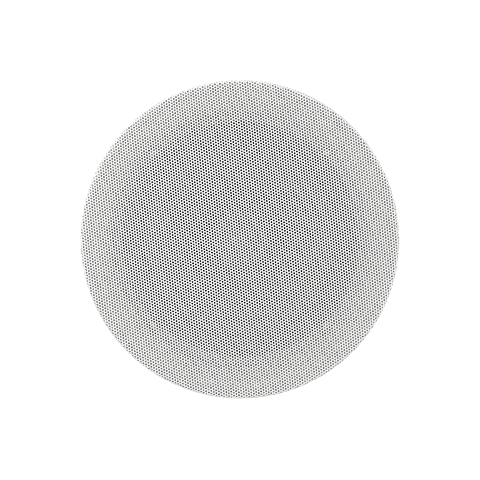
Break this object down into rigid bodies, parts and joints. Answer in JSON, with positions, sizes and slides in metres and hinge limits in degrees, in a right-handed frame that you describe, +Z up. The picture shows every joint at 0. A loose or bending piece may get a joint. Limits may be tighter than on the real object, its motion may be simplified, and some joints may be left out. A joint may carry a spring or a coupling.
{
  "type": "in-ceiling speaker",
  "caption": "Round flush in-ceiling loudspeaker: perforated white grille over a moulded frame with a coaxial woofer and tweeter, swing-out ceiling clamps and push terminals.",
  "frame": {"origin": "centre of the round ceiling cut-out, in the plane of the ceiling's underside where the flange seats", "axes": "+Z up into the ceiling void along the speaker's axis, the grille faces -Z into the room, +Y towards the terminal side"},
  "size_m": [0.222, 0.222, 0.0802],
  "materials": {
    "grille_paint": "white powder coat on perforated steel",
    "frame_plastic": "pale grey moulded plastic, fine spark texture",
    "chassis_paint": "black powder coat",
    "zinc_steel": "zinc-plated steel, turned",
    "screw_steel": "zinc-plated, rolled thread",
    "screw_black": "black oxide on steel",
    "ferrite": "dark grey sintered ferrite",
    "nickel": "nickel plate",
    "roll_rubber": "matt black rubber",
    "cone_plastic": "black filled polypropylene, satin",
    "spider_cloth": "resin-dipped woven cloth",
    "gasket_foam": "black closed-cell foam",
    "former_film": "amber film tube",
    "copper": "lacquered copper wire",
    "pod_plastic": "black moulded plastic",
    "dome_cloth": "coated silk",
    "board_lacquer": "green solder mask",
    "bobbin_plastic": "black spool",
    "can_sleeve": "dark blue sleeve",
    "resistor_case": "white cement case",
    "terminal_plastic": "black moulded plastic",
    "button_red": "red moulded plastic",
    "button_black": "black moulded plastic",
    "spring_brass": "plated spring strip",
    "dog_plastic": "black glass-filled plastic"
  },
  "bodies": {
    "root": {"grille_magnets": "nickel", "frame": "frame_plastic", "clamp_towers": "frame_plastic", "screw_bosses": "frame_plastic", "board_guides": "frame_plastic", "woofer_gasket": "gasket_foam", "basket": "chassis_paint", "trim_ring": "roll_rubber", "top_plate": "zinc_steel", "motor_rivets": "screw_steel", "motor_magnet": "ferrite", "back_plate": "zinc_steel", "tweeter_post": "pod_plastic", "tweeter_pod": "pod_plastic", "tweeter_yoke": "zinc_steel", "tweeter_magnet": "nickel", "tweeter_plate": "zinc_steel", "tweeter_coil": "copper", "tweeter_dome": "dome_cloth", "tweeter_faceplate": "pod_plastic", "rim_screws": "screw_black", "crossover_board": "board_lacquer", "inductor_bobbin": "bobbin_plastic", "inductor_winding": "copper", "capacitor": "can_sleeve", "resistor": "resistor_case", "terminal_body": "terminal_plastic", "terminal_leaf_red": "spring_brass", "terminal_leaf_black": "spring_brass"},
    "grille": {"grille": "grille_paint", "grille_skirt": "grille_paint"},
    "cone": {"cone": "cone_plastic", "surround": "roll_rubber", "spider": "spider_cloth", "voice_coil_former": "former_film", "voice_coil": "copper"},
    "button_red": {"terminal_button_red": "button_red"},
    "button_black": {"terminal_button_black": "button_black"},
    "clamp_screw_1": {"clamp_screw_1": "screw_steel", "clamp_retainer_1": "screw_steel"},
    "clamp_dog_1": {"clamp_dog_1": "dog_plastic"},
    "clamp_screw_2": {"clamp_screw_2": "screw_steel", "clamp_retainer_2": "screw_steel"},
    "clamp_dog_2": {"clamp_dog_2": "dog_plastic"},
    "clamp_screw_3": {"clamp_screw_3": "screw_steel", "clamp_retainer_3": "screw_steel"},
    "clamp_dog_3": {"clamp_dog_3": "dog_plastic"},
    "clamp_screw_4": {"clamp_screw_4": "screw_steel", "clamp_retainer_4": "screw_steel"},
    "clamp_dog_4": {"clamp_dog_4": "dog_plastic"}
  },
  "joints": [
    {"name": "grille_pull", "type": "slide", "parent": "root", "child": "grille", "axis": [0, 0, -1], "range_m": [0, 0.03]},
    {"name": "cone_travel", "type": "slide", "parent": "root", "child": "cone", "axis": [0, 0, -1], "range_m": [-0.004, 0.004], "stiffness_N_per_m": 1500, "deforming": ["surround", "spider"]},
    {"name": "button_red_push", "type": "slide", "parent": "root", "child": "button_red", "axis": [0, 0, -1], "range_m": [0, 0.003], "stiffness_N_per_m": 1200, "deforming": ["terminal_leaf_red"]},
    {"name": "button_black_push", "type": "slide", "parent": "root", "child": "button_black", "axis": [0, 0, -1], "range_m": [0, 0.003], "stiffness_N_per_m": 1200, "deforming": ["terminal_leaf_black"]},
    {"name": "clamp_swing_1", "type": "hinge", "parent": "root", "child": "clamp_screw_1", "pos_m": [0.06074, 0.06074, 0.011], "axis": [0, 0, 1], "range_deg": [0, 90]},
    {"name": "clamp_travel_1", "type": "slide", "parent": "clamp_screw_1", "child": "clamp_dog_1", "axis": [0, 0, -1], "range_m": [0, 0.0235]},
    {"name": "clamp_swing_2", "type": "hinge", "parent": "root", "child": "clamp_screw_2", "pos_m": [-0.06074, 0.06074, 0.011], "axis": [0, 0, 1], "range_deg": [0, 90]},
    {"name": "clamp_travel_2", "type": "slide", "parent": "clamp_screw_2", "child": "clamp_dog_2", "axis": [0, 0, -1], "range_m": [0, 0.0235]},
    {"name": "clamp_swing_3", "type": "hinge", "parent": "root", "child": "clamp_screw_3", "pos_m": [-0.06074, -0.06074, 0.011], "axis": [0, 0, 1], "range_deg": [0, 90]},
    {"name": "clamp_travel_3", "type": "slide", "parent": "clamp_screw_3", "child": "clamp_dog_3", "axis": [0, 0, -1], "range_m": [0, 0.0235]},
    {"name": "clamp_swing_4", "type": "hinge", "parent": "root", "child": "clamp_screw_4", "pos_m": [0.06074, -0.06074, 0.011], "axis": [0, 0, 1], "range_deg": [0, 90]},
    {"name": "clamp_travel_4", "type": "slide", "parent": "clamp_screw_4", "child": "clamp_dog_4", "axis": [0, 0, -1], "range_m": [0, 0.0235]}
  ]
}
